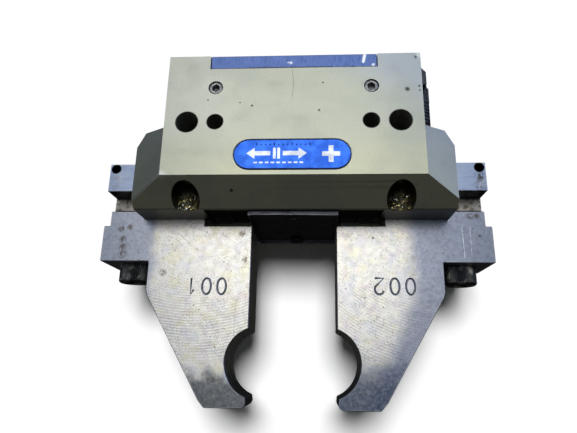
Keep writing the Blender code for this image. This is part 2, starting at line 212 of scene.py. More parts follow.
def anodised():
    """Hard-anodised aluminium: olive-grey and finely grained, worn at its corners, with painted highlights
    along some edges, painted shade underneath, in the underside's recess and inside its holes, and painted
    glints on the chips in its screw bores.
    """
    made = Finish("hard_anodised", srgb(201, 201, 182), 0.95, 0.4)
    x, y, z = made.node("SeparateXYZ", None, {0: made.place}).outputs
    wide, _, deep = made.node("SeparateXYZ", None, {0: made.vector("ABSOLUTE", made.place)}).outputs
    # Tone across the front face: lighter at the left, yellower lower down, bluer towards the upper right.
    made.paint(srgb(212, 211, 193), made.between(x, -50.0, -5.0, 1.0, 0.0))
    made.paint(srgb(213, 211, 178), made.between(y, -62.0, -34.0, 1.0, 0.0), 0.8)
    upper_right = made.between(made.math("ADD", made.math("MULTIPLY", x, 0.6), y), -4.0, 24.0)
    made.paint(srgb(192, 195, 194), upper_right)
    made.paint(srgb(184, 186, 172), made.between(made.noise(30, 3.0), 0.45, 0.62), 0.35)
    grain = made.noise(0.6, 2.0)
    made.paint(srgb(150, 154, 140), made.between(grain, 0.54, 0.75), 0.4)
    smudges = made.noise(9, 5.0, (1.3, 1, 1), (0, 30, 0), 0.4)
    made.paint(srgb(160, 160, 146), made.between(smudges, 0.6, 0.8), 0.15)
    marks = [
        ((60.4, -2.2, 45), 1.3),
        ((55.3, -20.2, 45), 1.6),
        ((61.1, -18.6, 45), 0.8),
        ((61.2, -20.9, 45), 0.6),
        ((-19.8, -28.1, 45), 0.8),
        ((-41.7, -24.8, 45), 0.6),
        ((12.7, -31.0, 45), 0.8),
        ((14.7, -16.0, 45), 0.6),
        ((-25.8, -26.4, 45), 0.5),
        ((-28.8, -69.8, 39.2), 1.3),
    ]
    dirt = made.any(made.dots(0.8, 9.0, 0.88), *(made.patch(place, size, 0.5) for place, size in marks))
    made.paint(srgb(62, 58, 50), dirt, 0.9)
    crack = made.any(
        made.streak((-0.7, -7.0, 45), (0.3, -15, 45), 0.16),
        made.streak((0.3, -15, 45), (-0.3, -24, 45), 0.14),
    )
    made.paint(srgb(112, 108, 94), crack, 0.6)
    scratch = made.any(
        made.streak((41, -7, 45), (50, -11, 45), 0.15),
        made.streak((-57, -29, 45), (-51, -25.5, 45), 0.16),
    )
    made.paint(srgb(226, 226, 214), scratch, 0.4)
    # Bright worn corners and edges. The streak along the front face's lower left edge is a painted highlight,
    # and the edge brightening also serves as painted edge highlights.
    corners = made.any(
        made.patch((-61.5, -64, 45), 3.5),
        made.patch((62, -1, 45), 3.0),
        made.patch((78, -45, 30), 3),
        made.streak((-62.6, -64.3, 44.8), (-50, -64.3, 44.8), 0.6),
    )
    made.paint(srgb(236, 236, 226), made.any(made.worn_and_highlit_edges(0.3), made.math("MULTIPLY", corners, 0.8)))
    # Painted highlight along the edge between the left ear and the slanted face.
    rubbed = made.streak((-77.9, -73.6, 35.4), (-62.7, -64.3, 44.7), 0.55)
    made.paint(srgb(255, 255, 246), rubbed, 0.95)
    # Painted shade on the housing's underside, darkest in the middle between its front and rear edges.
    under = made.between(y, -76.9, -76.5, 1.0, 0.0)
    made.paint(srgb(124, 122, 108), under)
    made.paint(srgb(58, 55, 46), made.math("MULTIPLY", under, made.between(deep, 15.0, 31.0, 1.0, 0.0)))
    # Painted shade in the recess of the underside between the side bands.
    recess = made.math(
        "MULTIPLY",
        made.math(
            "MULTIPLY",
            made.between(wide, 43.6, 44.0, 1.0, 0.0),
            made.between(deep, 31.05, 31.4, 1.0, 0.0),
        ),
        made.between(y, -74.6, -74.2, 1.0, 0.0),
    )
    made.paint(srgb(62, 60, 55), recess)
    # Painted shade inside the body screws' bores.
    screw_bores = made.hole((51.4, 0, 36.2), (1, 0, 1), 6.75)
    made.paint(srgb(74, 71, 58), screw_bores)
    littered = made.math("MULTIPLY", screw_bores, made.between(deep, 30.5, 33.0, 1.0, 0.0))
    littered = made.math("MULTIPLY", littered, made.between(y, -71.5, -66.5, 1.0, 0.0))
    chips = made.math("MULTIPLY", littered, made.between(made.noise(1.4, 4.0), 0.46, 0.6))
    made.paint(srgb(150, 136, 88), chips, 0.7)
    # Pale dots among the chips: painted glints.
    made.paint(srgb(255, 248, 214), made.math("MULTIPLY", littered, made.dots(1.6, 1.8, 0.6)))
    bolt_holes = made.hole((51.4, 36.6, 0), (1, 1, 0), 5.6)
    dowel_holes = made.hole((37.55, 36.6, 0), (1, 1, 0), 4.1)
    # Painted shade inside the bolt and dowel holes.
    made.paint(srgb(160, 160, 148), bolt_holes)
    made.paint(srgb(136, 136, 124), dowel_holes)
    made.raise_by(grain, 0.012)
    made.raise_by(dirt, -0.05)
    made.raise_by(made.any(scratch, crack), -0.02)
    made.raise_by(chips, 0.2)
    drilled = made.math("MULTIPLY", made.any(bolt_holes, dowel_holes), 0.25)
    rough = made.math("ADD", made.between(smudges, 0.4, 0.8, 0.39, 0.43), drilled)
    return made.done(rough)


def milled_steel(name, centre, stamp, flange, tip, tints, rust, scratches):
    """Face-milled steel, pale in the middle, blue-grey over the flange and darker towards the tip: cutter arcs
    round centre, grit, stains and scratches.

    flange is (where it begins, over what width, how it leans below the shoulder, its colour) and tip is
    (where it ends, over what height, its colour).
    """
    made = Finish(name, srgb(252, 246, 232), 1.0, 0.34)
    across, y, level = made.node("SeparateXYZ", None, {0: made.place}).outputs
    wide = made.math("ABSOLUTE", across)
    for colour, size, offset, share in tints:
        made.paint(colour, made.between(made.noise(size, 4.0, offset=offset), 0.48, 0.64), share)
    fine = made.noise(0.8, 3.0)
    gritty = made.between(made.noise(11, 3.0, offset=(4, 1, 6)), 0.4, 0.6, 0.35, 1.0)
    made.paint(srgb(168, 162, 148), made.math("MULTIPLY", made.between(fine, 0.5, 0.66), gritty), 0.6)
    drop = made.math("MAXIMUM", made.math("SUBTRACT", -117.0, y), 0.0)
    # Blue-grey over the outer part and the flange, with lighter and darker mottle in it.
    start, width, lean, grey = flange
    reach = made.math("ADD", wide, made.math("MULTIPLY", drop, lean))
    reach = made.math("ADD", reach, made.math("MULTIPLY", made.noise(9, 6.0), 8.0))
    outer = made.between(reach, start, start + width)
    made.paint(grey, outer, 0.85)
    mottle = made.noise(1.5, 8.0, offset=(1, 5, 3), distortion=0.6)
    made.paint(srgb(206, 210, 222), made.math("MULTIPLY", outer, made.between(mottle, 0.5, 0.66)), 0.25)
    dull = made.math("MULTIPLY", outer, made.between(mottle, 0.36, 0.5, 1.0, 0.0))
    made.paint(srgb(112, 114, 124), dull, 0.25)
    # Darker towards the tip, with its own lighter and darker mottle.
    end, fade, dark = tip
    depth = made.math("ADD", y, made.math("MULTIPLY", made.noise(8, 8.0, offset=(2, 2, 2)), 14.0))
    darker_tip = made.between(depth, end, end + fade, 1.0, 0.0)
    made.paint(dark, darker_tip, 0.9)
    made.paint(srgb(186, 186, 184), made.math("MULTIPLY", darker_tip, made.between(mottle, 0.48, 0.68)), 0.35)
    darkest = made.math("MULTIPLY", darker_tip, made.between(mottle, 0.34, 0.5, 1.0, 0.0))
    made.paint(srgb(58, 60, 70), darkest, 0.35)
    offset = made.vector("SUBTRACT", made.place, (*centre, 0))
    flat = made.vector("MULTIPLY", offset, (1, 1, 0))
    wobble = made.math("MULTIPLY", made.noise(9, 2.0), 0.8)
    run = made.math("ADD", made.vector("LENGTH", flat), wobble)
    waves = made.math("SINE", made.math("MULTIPLY", run, 2 * math.pi / 1.35))
    shown = made.math(
        "MULTIPLY",
        made.math("MULTIPLY", made.between(y, -118, -104, 1.0, 0.15), made.between(y, -152, -140, 0.1, 1.0)),
        made.between(made.noise(14, 2.0, offset=(3, 8, 1)), 0.38, 0.55, 0.35, 1.0),
    )
    arcs = made.math("MULTIPLY", waves, shown)
    made.paint(srgb(176, 164, 164), made.between(arcs, 0.1, 1.0), 0.4)
    clouds = made.between(made.noise(10, 3.0), 0.42, 0.56)
    specks = made.any(made.dots(1.0, 2.2, 0.6), made.dots(0.6, 1.1, 0.6, (9, 4, 1)))
    specks = made.math("MULTIPLY", specks, clouds)
    stains = made.any(*(made.patch(place, size, 0.5) for place, size in rust))
    stains = made.math("MULTIPLY", stains, made.between(made.noise(1.3, 5.0), 0.36, 0.54))
    made.paint(srgb(104, 84, 66), stains, 0.8)
    made.paint(srgb(112, 100, 84), specks, 0.7)
    lines = made.any(*(made.streak(*line) for line in scratches))
    made.paint(srgb(250, 250, 246), made.math("MULTIPLY", lines, made.between(mottle, 0.38, 0.52)), 0.7)
    made.paint(srgb(252, 252, 250), made.worn_and_highlit_edges(0.6, 0.9), 0.8)
    near = made.between(made.vector("DISTANCE", made.place, (*stamp, 14.5)), 13.0, 14.0, 1.0, 0.0)
    grooves = made.math("MULTIPLY", near, made.between(level, 14.28, 14.44, 1.0, 0.0))
    made.paint(srgb(96, 98, 112), grooves, 0.7)
    made.raise_by(arcs, 0.008)
    made.raise_by(fine, 0.012)
    made.raise_by(made.any(specks, lines), -0.03)
    rough = made.between(made.noise(3, 4.0), 0.3, 0.75, 0.32, 0.4)
    return made.done(rough)


def jaw_steel(side, x):
    """Ground and hardened slide steel, bluish: rubbed tracks along the stroke, rust below its screw hole."""
    made = Finish("slide_steel_" + side, srgb(186, 196, 214), 1.0, 0.36)
    tracks = made.noise(0.6, 3.0, (14, 1, 1))
    made.paint(srgb(156, 168, 196), made.between(tracks, 0.45, 0.7), 0.6)
    made.paint(srgb(208, 210, 214), made.between(made.noise(8, 4.0), 0.52, 0.7), 0.5)
    axes = made.node("SeparateXYZ", None, {0: made.place})
    below_head = made.between(axes.outputs[1], -65.0, -64.3, 1.0, 0.0)
    behind = made.between(axes.outputs[2], 10.5, 13.0, 1.0, 0.0)
    neck = made.math("MULTIPLY", below_head, behind)
    # Painted shade: near black everywhere below the head's front face, its underside included; the neck and
    # its joint line are painted over it next.
    made.paint(srgb(26, 26, 30), made.between(axes.outputs[1], -63.85, -63.6, 1.0, 0.0))
    made.paint(srgb(186, 176, 160), neck)
    rusted = made.math("MULTIPLY", neck, made.between(made.noise(1.8, 5.0), 0.5, 0.64))
    made.paint(srgb(92, 82, 70), rusted, 0.8)
    joint_line = made.math("MULTIPLY", neck, made.between(axes.outputs[1], -71.0, -70.6, 1.0, 0.0))
    made.paint(srgb(26, 24, 22), joint_line)
    run_down = made.noise(0.8, 4.0, (1, 3, 1))
    stain = made.math(
        "MULTIPLY",
        made.any(made.patch((x * 93.3, -56.5, 22), 4.2, 0.7), made.patch((x * 92.8, -60.8, 22), 4.0, 0.7)),
        made.between(run_down, 0.4, 0.6),
    )
    made.paint(srgb(84, 70, 58), stain, 0.9 if x > 0 else 0.25)
    # Painted shade: near black inside the screw hole in the head's front.
    made.paint(srgb(30, 30, 32), made.hole((93.3, 51.6, 0), (1, 1, 0), 2.55))
    specks = made.dots(0.6, 3.0, 0.8)
    made.paint(srgb(88, 78, 66), specks, 0.7)
    made.paint(srgb(232, 234, 236), made.worn_and_highlit_edges(0.4, 0.8), 0.8)
    made.raise_by(tracks, 0.008)
    made.raise_by(specks, -0.03)
    return made.done(made.between(made.noise(3, 4.0), 0.35, 0.7, 0.3, 0.48))


def cover_metal():
    """The end cover's sawn and tumbled aluminium: its blue-grey is a painted reflection, with bright nicks,
    white spots and a painted shadow line along its lower edge.
    """
    # The blue in the base and the sawn stripes is a painted reflection.
    made = Finish("end_cover_metal", srgb(105, 126, 180), 1.0, 0.38)
    sawn = made.noise(0.5, 3.0, (1, 10, 10))
    made.paint(srgb(92, 114, 168), made.between(sawn, 0.45, 0.7), 0.5)
    nicks = made.math("MULTIPLY", made.dots(1.4, 3.4, 0.6), made.between(made.noise(9, 3.0), 0.45, 0.6))
    made.paint(srgb(226, 230, 238), nicks, 0.5)
    # Painted shadow: a dark line along the cover's lower edge, fading into a fainter line across the front.
    made.paint(srgb(58, 50, 46), made.streak((-21.7, -7.0, 44.7), (19.1, -7.1, 44.7), 0.5), 0.9)
    made.paint(srgb(120, 110, 104), made.streak((-41, -7.1, 44.7), (41, -7.2, 44.7), 0.3), 0.7)
    # White spots on the cover's front.
    white_spots = made.any(
        made.patch((-1.2, -4.4, 44.7), 1.3, 0.9),
        made.patch((-2.6, -4.1, 44.7), 0.7, 0.9),
        made.streak((35.4, -0.3, 44.7), (34.6, -4.4, 44.7), 1.0),
        made.patch((39.4, -6.2, 44.7), 1.5, 0.9),
    )
    made.paint(srgb(255, 255, 255), white_spots)
    made.paint(srgb(216, 222, 234), made.worn_and_highlit_edges(0.4, 0.9), 0.7)
    made.paint(srgb(60, 66, 84), made.between(made.noise(4, 5.0), 0.6, 0.74), 0.5)
    made.raise_by(sawn, 0.01)
    made.raise_by(nicks, -0.05)
    return made.done(made.between(sawn, 0.3, 0.7, 0.3, 0.46))


def sheet_metal():
    """Thin cold-rolled steel, oily and dull, its cut edge bright."""
    made = Finish("sheet_steel", srgb(98, 98, 102), 1.0, 0.45)
    rolled = made.noise(0.8, 3.0, (8, 1, 1))
    made.paint(srgb(76, 76, 80), made.between(rolled, 0.45, 0.7), 0.6)
    made.paint(srgb(66, 60, 52), made.between(made.noise(6, 5.0), 0.55, 0.72), 0.6)
    made.paint(srgb(190, 190, 190), made.worn_and_highlit_edges(0.35, 0.9))
    made.raise_by(rolled, 0.01)
    return made.done(made.between(rolled, 0.3, 0.7, 0.38, 0.55))


def black_oxide():
    """Blackened screw steel, rubbed brown-grey where a key and fingers touch it."""
    made = Finish("black_oxide_steel", srgb(60, 60, 58), 0.85, 0.42)
    made.paint(srgb(44, 42, 38), made.between(made.noise(3, 4.0), 0.45, 0.65))
    made.paint(srgb(206, 198, 180), made.between(made.noise(4.5, 5.0, offset=(7, 3, 1)), 0.52, 0.68), 0.65)
    made.paint(srgb(150, 150, 148), made.worn_and_highlit_edges(0.3, 0.8), 0.7)
    made.raise_by(made.noise(0.4, 3.0), 0.015)
    return made.done(made.between(made.noise(1.5, 3.0), 0.3, 0.7, 0.34, 0.52))


def zinc():
    """Plated steel of plugs and pins, with a bright rim and grime in its socket."""
    made = Finish("zinc_plate", srgb(152, 152, 150), 1.0, 0.32)
    made.paint(srgb(104, 102, 94), made.between(made.noise(1.6, 4.0), 0.45, 0.65), 0.7)
    made.paint(srgb(210, 210, 206), made.worn_and_highlit_edges(0.3, 1.0), 0.7)
    made.raise_by(made.noise(0.35, 3.0), 0.012)
    return made.done(made.between(made.noise(2, 3.0), 0.3, 0.7, 0.26, 0.44))


def rubber():
    """Black nitrile with a faint bloom."""
    made = Finish("seal_rubber", srgb(30, 30, 30), 0.0, 0.6)
    made.paint(srgb(52, 52, 50), made.between(made.noise(1.8, 4.0), 0.5, 0.75), 0.6)
    made.raise_by(made.noise(0.3, 3.0), 0.01)
    return made.done(made.between(made.noise(1.0, 3.0), 0.3, 0.7, 0.5, 0.72))


def switch_metal():
    """The dark anodised bracket and the switch's nickelled thread, both grimy."""
    made = Finish("switch_metal", srgb(84, 86, 90), 0.85, 0.4)
    made.paint(srgb(52, 52, 52), made.between(made.noise(4, 4.0), 0.45, 0.65), 0.8)
    made.paint(srgb(150, 152, 156), made.worn_and_highlit_edges(0.3, 0.9), 0.8)
    made.raise_by(made.noise(0.5, 3.0), 0.012)
    return made.done(made.between(made.noise(2, 3.0), 0.3, 0.7, 0.34, 0.52))


def enamel(name, colour, darker, shine=0.38):
    """Printed and lacquered label foil: dull specks and rubbed spots."""
    made = Finish(name, srgb(*colour), 0.85, shine)
    made.paint(srgb(*darker), made.between(made.noise(9, 4.0), 0.45, 0.7), 0.5)
    made.paint(srgb(*(0.75 * level for level in colour)), made.dots(0.5, 2.4, 0.8), 0.6)
    made.raise_by(made.noise(0.8, 3.0), 0.006)
    return made.done(made.between(made.noise(4, 4.0), 0.3, 0.7, shine - 0.06, shine + 0.14))


def swarf_metal(name, colour):
    made = Finish(name, srgb(*colour), 1.0, 0.3)
    made.paint(srgb(*(0.6 * level for level in colour)), made.between(made.noise(0.6, 3.0), 0.5, 0.7))
    made.raise_by(made.noise(0.2, 2.0), 0.02)
    return made.done(made.between(made.noise(0.5, 2.0), 0.3, 0.7, 0.24, 0.42))


def floor_paint():
    """Pale matt studio paper."""
    made = Finish("studio_paper", srgb(246, 246, 246), 0.0, 0.9)
    made.paint(srgb(243, 243, 244), made.between(made.noise(60, 3.0), 0.4, 0.7))
    return made.done()


# ---------------------------------------------------------------- mesh tools


def new_object(name, shape, material, smooth=False):
    bmesh.ops.recalc_face_normals(shape, faces=shape.faces)
    mesh = bpy.data.meshes.new(name)
    shape.to_mesh(mesh)
    shape.free()
    mesh.materials.append(material)
    made = bpy.data.objects.new(name, mesh)
    bpy.context.scene.collection.objects.link(made)
    if smooth:
        mesh.shade_smooth()
        mesh.set_sharp_from_angle(angle=math.radians(32))
    return made


def apply_modifiers(piece):
    """Makes the piece's evaluated mesh its own mesh."""
    graph = bpy.context.evaluated_depsgraph_get()
    result = bpy.data.meshes.new_from_object(piece.evaluated_get(graph))
    piece.modifiers.clear()
    piece.data = result
    return piece


def weld(piece):
    """Closes the seams that a CAD solid's file left between its faces."""
    piece.modifiers.new("weld", "WELD").merge_threshold = 0.002 * MM


def break_edges(piece, width, angle):
    edge = piece.modifiers.new("edge_break", "BEVEL")
    edge.width = width * MM
    edge.segments = 2
    edge.limit_method = "ANGLE"
    edge.angle_limit = math.radians(angle)
    return edge


def weld_and_bevel(piece, width):
    """Rounds the edges of a CAD solid."""
    weld(piece)
    break_edges(piece, width, 30.0)


def soften(node):
    """Shades a turned CAD node smooth, keeping its corners."""
    weld(NODES[node])
    NODES[node].data.shade_smooth()
    break_edges(NODES[node], 0.12, 35.0).harden_normals = True


def plain_copy(node, name, material):
    """A new object with a CAD solid's own vertices and faces, and no stored normals."""
    source = NODES[node].data
    mesh = bpy.data.meshes.new(name)
    mesh.from_pydata([v.co for v in source.vertices], [], [list(p.vertices) for p in source.polygons])
    mesh.materials.append(material)
    made = bpy.data.objects.new(name, mesh)
    bpy.context.scene.collection.objects.link(made)
    weld(made)
    return made


def paint_node(node, material):
    mesh = NODES[node].data
    if not mesh.materials:
        mesh.materials.append(material)
    for index in range(len(mesh.materials)):
        mesh.materials[index] = material


def circle(radius, sides, start=0.0):
    turns = [start + 2 * math.pi * i / sides for i in range(sides)]
    return [(radius * math.cos(turn), radius * math.sin(turn)) for turn in turns]


def outline_solid(name, outline, low, high, material, rim=0.0):
    """An outline in x and y, millimetres, from z low to high. Its top edge is chamfered by rim."""
    centre = Vector((sum(p[0] for p in outline), sum(p[1] for p in outline))) / len(outline)
    shape = bmesh.new()
    rings = []
    for level, inset in ((low, 0.0), (high - rim, 0.0), (high, rim)):
        ring = []
        for x, y in outline:
            away = Vector((x, y)) - centre
            shrunk = centre + away * (1 - inset / max(away.length, 0.01))
            ring.append(shape.verts.new((shrunk.x * MM, shrunk.y * MM, level * MM)))
        rings.append(ring)
    shape.faces.new(rings[0])
    shape.faces.new(rings[-1])
    for lower, upper in zip(rings, rings[1:]):
        for i in range(len(outline)):
            j = (i + 1) % len(outline)
            shape.faces.new((lower[i], lower[j], upper[j], upper[i]))
    return new_object(name, shape, material)


# ---------------------------------------------------------------- pieces

STAMP_CENTRE = {"left": (-43.3, -111.6), "right": (49.8, -111.0)}
STAMP_HEIGHT = 8.0
STAMP_WIDTH = 4.4
STAMP_PITCH = 7.6
STAMP_STROKE = 0.65
STAMP_DEPTH = 0.45


def digit_strokes(digit):
    """Strokes of a stamped digit, in a box one wide and one high."""
    if digit == "0":
        return [[(0.5 + 0.5 * x, 0.5 + 0.5 * y) for x, y in circle(1.0, 20)] + [(1.0, 0.5)]]
    if digit == "1":
        return [[(0.2, 0.72), (0.55, 1.0), (0.55, 0.0)]]
    turns = [math.radians(165 - 24 * i) for i in range(9)]
    bowl = [(0.5 + 0.5 * math.cos(turn), 0.68 + 0.32 * math.sin(turn)) for turn in turns]
    return [bowl + [(0.0, 0.0), (1.0, 0.0)]]


def stamp_cutter(name, digits, centre, surface):
    """Round-bottomed strokes of the digits, upside down, as one closed mesh each."""
    cutters = []
    radius = STAMP_STROKE
    for place, digit in enumerate(digits):
        left = (place - 0.5 * len(digits)) * STAMP_PITCH + 0.5 * (STAMP_PITCH - STAMP_WIDTH)
        for stroke in digit_strokes(digit):
            curve = bpy.data.curves.new(name, "CURVE")
            curve.dimensions = "3D"
            curve.bevel_depth = radius * MM
            curve.bevel_resolution = 2
            curve.use_fill_caps = True
            line = curve.splines.new("POLY")
            line.points.add(len(stroke) - 1)
            for point, (x, y) in zip(line.points, stroke):
                across = centre[0] - (left + x * STAMP_WIDTH)
                down = centre[1] - (y - 0.5) * STAMP_HEIGHT
                level = surface + radius - STAMP_DEPTH
                point.co = (across * MM, down * MM, level * MM, 1.0)
            made = bpy.data.objects.new(f"{name}_{len(cutters)}", curve)
            bpy.context.scene.collection.objects.link(made)
            mesh = bpy.data.meshes.new_from_object(made)
            bpy.data.objects.remove(made)
            cutter = bpy.data.objects.new(f"{name}_{len(cutters)}", mesh)
            bpy.context.scene.collection.objects.link(cutter)
            cutters.append(cutter)
    return cutters


def nick_cutters(name, x, seed):
    """Small wedges that dent the finger's front edges, where it was dropped and clamped."""
    draw = random.Random(seed)
    edges = [
        ((21.6, -84), (21.6, -128)),
        ((99.4, -82), (99.4, -97)),
        ((72, -118.4), (46, -162)),
        ((88, -99), (76, -99)),
        ((96, -80.4), (50, -72.5)),
    ]
    cutters = []
    for i, (start, end) in enumerate(edges):
        for k in range(2):
            share = draw.random()
            along = Vector(start).lerp(Vector(end), share)
            size = draw.uniform(0.3, 0.7)
            shape = bmesh.new()
            bmesh.ops.create_icosphere(shape, subdivisions=2, radius=size * MM)
            turn = Matrix.Rotation(draw.uniform(0, math.pi), 4, "Z") @ Matrix.Diagonal((1.8, 0.8, 0.9, 1))
            place = Vector((x * along.x, along.y, 14.5 + 0.25 * size)) * MM
            shape.transform(Matrix.Translation(place) @ turn)
            cutters.append(new_object(f"{name}_{i}_{k}", shape, bpy.data.materials[0]))
    return cutters


def finger(side, x, material, digits):
    """The finger with its stamped number and dented edges, cut from the CAD solid's own shape."""
    piece = plain_copy("finger_" + side, "milled_finger_" + side, material)
    cutters = stamp_cutter("stamp_" + side, digits, STAMP_CENTRE[side], 14.5)
    cutters += nick_cutters("nick_" + side, x, 20 + x)
    for cutter in cutters:
        cut = piece.modifiers.new(cutter.name, "BOOLEAN")
        cut.operation = "DIFFERENCE"
        cut.solver = "EXACT"
        cut.use_self = True
        cut.object = cutter
    apply_modifiers(piece)
    for cutter in cutters:
        bpy.data.objects.remove(cutter)
    for index in range(len(piece.data.materials)):
        piece.data.materials[index] = material
    for polygon in piece.data.polygons:
        polygon.material_index = 0
    piece.data.shade_smooth()
    piece.data.set_sharp_from_angle(angle=math.radians(24))
    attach(piece, "jaw_" + side)
    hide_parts("finger_" + side)


KNURL_TEETH = 54


def knurled_screw(side, material):
    """A cap screw's head with its straight knurl and hex socket, below the finger's flange."""
    low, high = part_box("finger_screw_" + side)
    centre = Vector(((low.x + high.x) / 2, 0, (low.z + high.z) / 2))
    radius = (high.x - low.x) / 2
    top = low.y
    seat = -98.1 * MM
    shank_end = -54.0 * MM
    sides = 2 * KNURL_TEETH
    knurl = 0.3 * MM
    chamfer = 0.7 * MM
    profile = [
        (0.0, top),
        (radius - chamfer, top, 0),
        (radius - 0.1 * chamfer, top + chamfer, 0),
        (radius, top + 1.3 * chamfer, 1),
        (radius, seat - 0.9 * MM, 1),
        (radius - 0.3 * MM, seat - 0.6 * MM, 0),
        (radius - 0.4 * MM, seat, 0),
        (5.0 * MM, seat, 0),
        (5.0 * MM, shank_end, 0),
        (0.0, shank_end),
    ]
    shape = bmesh.new()
    rings = []
    for entry in profile:
        if len(entry) == 2:
            rings.append([shape.verts.new((centre.x, entry[1], centre.z))])
            continue
        reach, level, knurled = entry
        ring = []
        for i, (across, deep) in enumerate(circle(1.0, sides)):
            away = reach - knurled * knurl * (i % 2)
            ring.append(shape.verts.new((centre.x + across * away, level, centre.z + deep * away)))
        rings.append(ring)
    for first, second in zip(rings, rings[1:]):
        for i in range(sides):
            j = (i + 1) % sides
            corners = [ring[k % len(ring)] for ring, k in ((first, i), (first, j), (second, j), (second, i))]
            shape.faces.new(list(dict.fromkeys(corners)))
    piece = new_object("knurled_screw_" + side, shape, material)
    socket = bmesh.new()
    hexagon = circle(4.05 * MM, 6, math.pi / 6)
    wide = circle(4.9 * MM, 6, math.pi / 6)
    levels = [(wide, top - 0.4 * MM), (hexagon, top + 0.5 * MM), (hexagon, top + 5.0 * MM)]
    rings = [[socket.verts.new((centre.x + a, y, centre.z + b)) for a, b in ring] for ring, y in levels]
    rings.append([socket.verts.new((centre.x, top + 6.2 * MM, centre.z))])
    socket.faces.new(rings[0])
    for first, second in zip(rings, rings[1:]):
        for i in range(6):
            j = (i + 1) % 6
            corners = [first[i], first[j], second[j % len(second)], second[i % len(second)]]
            socket.faces.new(list(dict.fromkeys(corners)))
    cutter = new_object("socket_" + side, socket, material)
    cut = piece.modifiers.new("socket", "BOOLEAN")
    cut.object = cutter
    cut.solver = "EXACT"
    apply_modifiers(piece)
    bpy.data.objects.remove(cutter)
    piece.data.shade_smooth()
    piece.data.set_sharp_from_angle(angle=math.radians(25))
    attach(piece, "jaw_" + side)
    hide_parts("finger_screw_" + side)


def stadium(half_length, half_height, middle, steps=16):
    straight = half_length - half_height
    points = []
    for sign in (1, -1):
        for i in range(steps + 1):
            turn = math.radians(-90 * sign + 180 * i / steps)
            x = sign * straight + half_height * math.cos(turn)
            points.append((x, middle + half_height * math.sin(turn)))
    return points


PLATE_RIM = 0.55


def nameplate(blue, dark, white, edge):
    """The blue plate, its dark rim, and plain marks in place of any name."""
    low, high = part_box("nameplate")
    middle = (low.y + high.y) / 2 / MM
    half_length = (high.x - low.x) / 2 / MM
    half_height = (high.y - low.y) / 2 / MM
    base, top = low.z / MM, high.z / MM
    outer = stadium(half_length, half_height, middle)
    rim = outline_solid("nameplate_base", outer, base, top - 0.12, edge, 0.1)
    face = stadium(half_length - PLATE_RIM, half_height - PLATE_RIM, middle)
    pieces = [rim, outline_solid("nameplate_face", face, top - 0.13, top - 0.04, blue, 0.03)]
    mark = top - 0.045

    def arrow(tip, tail, y, half, name):
        step = 1 if tip > tail else -1
        neck = tip - step * 2.6 * half
        outline = [
            (tip, y),
            (neck, y + 1.9 * half),
            (neck, y + 0.75 * half),
            (tail, y + 0.75 * half),
            (tail, y - 0.75 * half),
            (neck, y - 0.75 * half),
            (neck, y - 1.9 * half),
        ]
        return outline_solid(name, outline, mark, top, white)

    pieces.append(arrow(-21.5, -10.2, middle + 0.4, 1.5, "mark_arrow_left"))
    pieces.append(arrow(7.0, -4.3, middle + 0.4, 1.5, "mark_arrow_right"))
    for place in (-8.9, -6.9):
        ends = (place, place + 1.3)
        bar = [(x, middle - 2.4) for x in ends] + [(x, middle + 3.2) for x in ends[::-1]]
        pieces.append(outline_solid(f"mark_bar_{'left' if place < -8 else 'right'}", bar, mark, top, white))
    for i in range(9):
        x = -18.0 + i * 2.7
        dash = [(x, middle - 4.7), (x + 1.7, middle - 4.7), (x + 1.7, middle - 3.9), (x, middle - 3.9)]
        pieces.append(outline_solid(f"mark_dash_{i}", dash, mark, top, white))
    for i in range(13):
        x = -17.0 + i * 2.1
        tall = 5.7 if i % 4 == 0 else 5.2
        tick = [(x, middle + 4.4), (x + 0.5, middle + 4.4), (x + 0.5, middle + tall), (x, middle + tall)]
        pieces.append(outline_solid(f"mark_tick_{i}", tick, mark, top, dark))
    plus = 1.15
    arm = 4.2
    cross = [
        (plus, plus), (plus, arm), (-plus, arm), (-plus, plus), (-arm, plus), (-arm, -plus),
        (-plus, -plus), (-plus, -arm), (plus, -arm), (plus, -plus), (arm, -plus), (arm, plus),
    ]
    cross = [(18.3 + a, middle + b) for a, b in cross]
    pieces.append(outline_solid("mark_cross", cross, mark, top, white))
    for piece in pieces:
        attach(piece, "body")
    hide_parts("nameplate")


